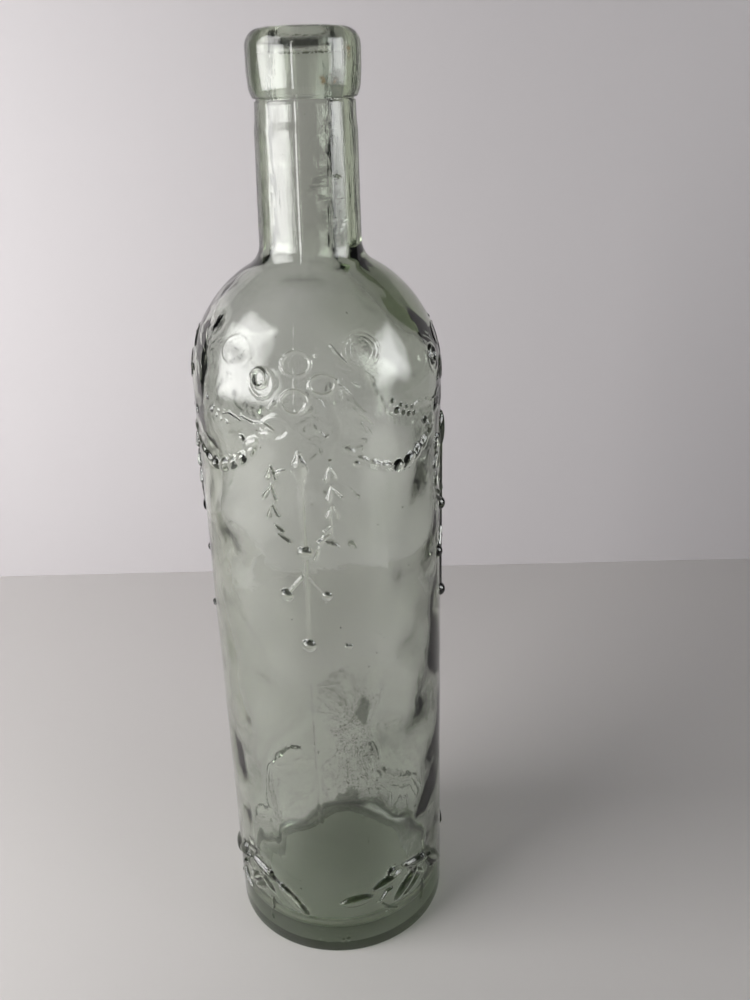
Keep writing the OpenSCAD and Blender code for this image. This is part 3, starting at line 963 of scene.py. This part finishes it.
# floor, wall, light and camera
studio = {
    "floorColour": (0.575, 0.555, 0.545, 1.0), "wallColour": (0.41, 0.39, 0.40, 1.0),
    "floorRoughness": 0.55, "wallRoughness": 0.7, "mottleScale": 9.0, "mottleShade": 0.985,
    "floorSize": 1.6, "floorDrop": 0.0003,  # the floor lies just clear of the glass
    "wallDistance": 0.2556, "wallTurn": 5.82, "wallWide": 0.80, "wallHigh": 0.50,
    "wallSunk": 0.01,
    # soft boxes light the floor and the wall, and windows are what the glass shows. Azimuth
    # in degrees from the camera. The sill is only mirrored and isn't seen through the glass
    "leftBox": {"azimuth": -70, "distance": 0.56, "wide": 0.50, "foot": 0.04, "top": 0.40,
                "power": 6.7, "colour": (1.0, 0.99, 0.985)},
    "rightBox": {"azimuth": 58, "distance": 0.70, "wide": 0.36, "foot": 0.05, "top": 0.32,
                 "power": 2.0, "colour": (0.98, 0.99, 1.0)},
    "leftWindow": {"azimuth": -72, "distance": 0.6, "wide": 0.72, "foot": 0.28, "top": 0.92,
                   "power": 12.5, "colour": (1.0, 0.995, 0.99), "frame": 0.4, "core": 0.9},
    "leftSill": {"azimuth": -66, "distance": 0.6, "wide": 0.86, "foot": 0.02, "top": 0.40,
                 "power": 12.5, "colour": (1.0, 0.995, 0.99), "frame": 0.5, "core": 0.9,
                 "through": False},
    "rightWindow": {"azimuth": 71, "distance": 0.7, "wide": 0.56, "foot": 0.09, "top": 0.72,
                    "power": 10.5, "colour": (0.98, 0.99, 1.0), "frame": 0.4, "core": 0.8},
    # the frame fades out from the edge inwards, the core from its own edge inwards, and
    # noise moves both edges
    "windowFade": {"frame": 0.66, "core": 0.35, "noiseScale": 3.0, "uneven": 0.5},
    "worldColour": (0.98, 0.99, 1.0, 1.0), "world": 0.06,
    "camera": {"place": (0.04727, -0.27797, 0.27828), "turn": (66.630, 1.463, 5.668),
               "lens": 34.2, "sensor": 36.0, "clipFrom": 0.01, "clipTo": 20.0},
}


def plainMaterial(name, colour, roughness, s):
    mat = bpy.data.materials.new(name)
    mat.use_nodes = True
    tree = mat.node_tree
    place = put(tree, "ShaderNodeTexCoord").outputs["Object"]
    mottle = noiseAt(tree, place, s["mottleScale"], 3.0)
    darker = tuple(c * s["mottleShade"] for c in colour[:3]) + (1.0,)
    shade = mixed(tree, mottle, darker, colour)
    shader = tree.nodes["Principled BSDF"]
    tree.links.new(shade, shader.inputs["Base Color"])
    shader.inputs["Roughness"].default_value = roughness
    # clear when seen from its back, so it hides nothing from behind or below
    fromBack = put(tree, "ShaderNodeNewGeometry").outputs["Backfacing"]
    clear = put(tree, "ShaderNodeBsdfTransparent")
    oneSided = put(tree, "ShaderNodeMixShader", {0: fromBack, 1: shader.outputs[0],
                                                 2: clear.outputs[0]})
    tree.links.new(oneSided.outputs[0], tree.nodes["Material Output"].inputs["Surface"])
    return mat


def makeStage(s):
    a = math.radians(s["wallTurn"])
    bpy.ops.object.select_all(action="DESELECT")
    bpy.ops.mesh.primitive_plane_add(size=s["floorSize"], location=(0, 0, -s["floorDrop"]))
    floor = bpy.context.object
    floor.name = "floor"
    floor.data.materials.append(plainMaterial("floorPaint", s["floorColour"],
                                              s["floorRoughness"], s))
    bpy.ops.object.select_all(action="DESELECT")
    bpy.ops.mesh.primitive_plane_add(size=1.0, rotation=(math.pi / 2, 0, a),
                                     location=(-math.sin(a) * s["wallDistance"],
                                               math.cos(a) * s["wallDistance"],
                                               s["wallHigh"] / 2 - s["wallSunk"]))
    bpy.ops.transform.resize(value=(s["wallWide"], 1.0, s["wallHigh"]))
    bpy.ops.object.transform_apply(location=False, rotation=False, scale=True)
    wall = bpy.context.object
    wall.name = "wall"
    wall.data.materials.append(plainMaterial("wallPaint", s["wallColour"], s["wallRoughness"], s))


def addAreaLight(name, s, cameraAzimuth):
    side = s[name]
    a = math.radians(side["azimuth"] + cameraAzimuth)
    away = Vector((math.sin(a), -math.cos(a), 0))
    data = bpy.data.lights.new(name, "AREA")
    data.shape = "RECTANGLE"
    data.size, data.size_y = side["wide"], side["top"] - side["foot"]
    data.energy = side["power"]
    data.color = side["colour"]
    lamp = bpy.data.objects.new(name, data)
    bpy.context.scene.collection.objects.link(lamp)
    lamp.location = away * side["distance"] + Vector((0, 0, (side["top"] + side["foot"]) / 2))
    lamp.rotation_euler = (-away).to_track_quat("-Z", "Y").to_euler()
    lamp.visible_diffuse = "core" not in side
    lamp.visible_glossy = "core" in side
    lamp.visible_transmission = side.get("through", "core" in side)
    if "core" in side:
        paintWindow(data, side, s["windowFade"])


# a window has a bright core inside a dimmer frame, both with an uneven edge
def paintWindow(data, side, fade):
    data.use_nodes = True
    tree = data.node_tree
    across = put(tree, "ShaderNodeNewGeometry").outputs["Parametric"]
    off = vectors(tree, "ABSOLUTE", vectors(tree, "MULTIPLY", vectors(
        tree, "SUBTRACT", across, (0.5, 0.5, 0.0)), (2.0, 2.0, 0.0)))
    off = put(tree, "ShaderNodeSeparateXYZ", {0: off}).outputs
    off = maths(tree, "MAXIMUM", off[0], off[1])
    uneven = maths(tree, "SUBTRACT", noiseAt(tree, across, fade["noiseScale"], 3.0), 0.5)
    off = maths(tree, "MULTIPLY_ADD", uneven, fade["uneven"], off)
    frame = maths(tree, "MULTIPLY", ramped(tree, off, 1.0, fade["frame"]), side["frame"])
    core = maths(tree, "MULTIPLY", ramped(tree, off, side["core"], side["core"] * fade["core"]),
                 1.0 - side["frame"])
    tree.links.new(maths(tree, "ADD", frame, core), tree.nodes["Emission"].inputs["Strength"])


def makeLight(s):
    place = s["camera"]["place"]
    cameraAzimuth = math.degrees(math.atan2(place[0], -place[1]))
    for name in ("leftBox", "rightBox", "leftWindow", "leftSill", "rightWindow"):
        addAreaLight(name, s, cameraAzimuth)
    world = bpy.data.worlds.new("room")
    bpy.context.scene.world = world
    world.use_nodes = True
    background = world.node_tree.nodes["Background"]
    background.inputs["Color"].default_value = s["worldColour"]
    background.inputs["Strength"].default_value = s["world"]


def makeCamera(c):
    data = bpy.data.cameras.new("camera")
    camera = bpy.data.objects.new("camera", data)
    bpy.context.scene.collection.objects.link(camera)
    camera.location = c["place"]
    camera.rotation_euler = Euler([math.radians(v) for v in c["turn"]], "XYZ")
    data.sensor_width = c["sensor"]
    data.lens = c["lens"]
    data.clip_start, data.clip_end = c["clipFrom"], c["clipTo"]
    bpy.context.scene.camera = camera


makeStage(studio)
makeLight(studio)
makeCamera(studio["camera"])
bpy.context.scene.view_settings.view_transform = "Standard"
print("studio ready")
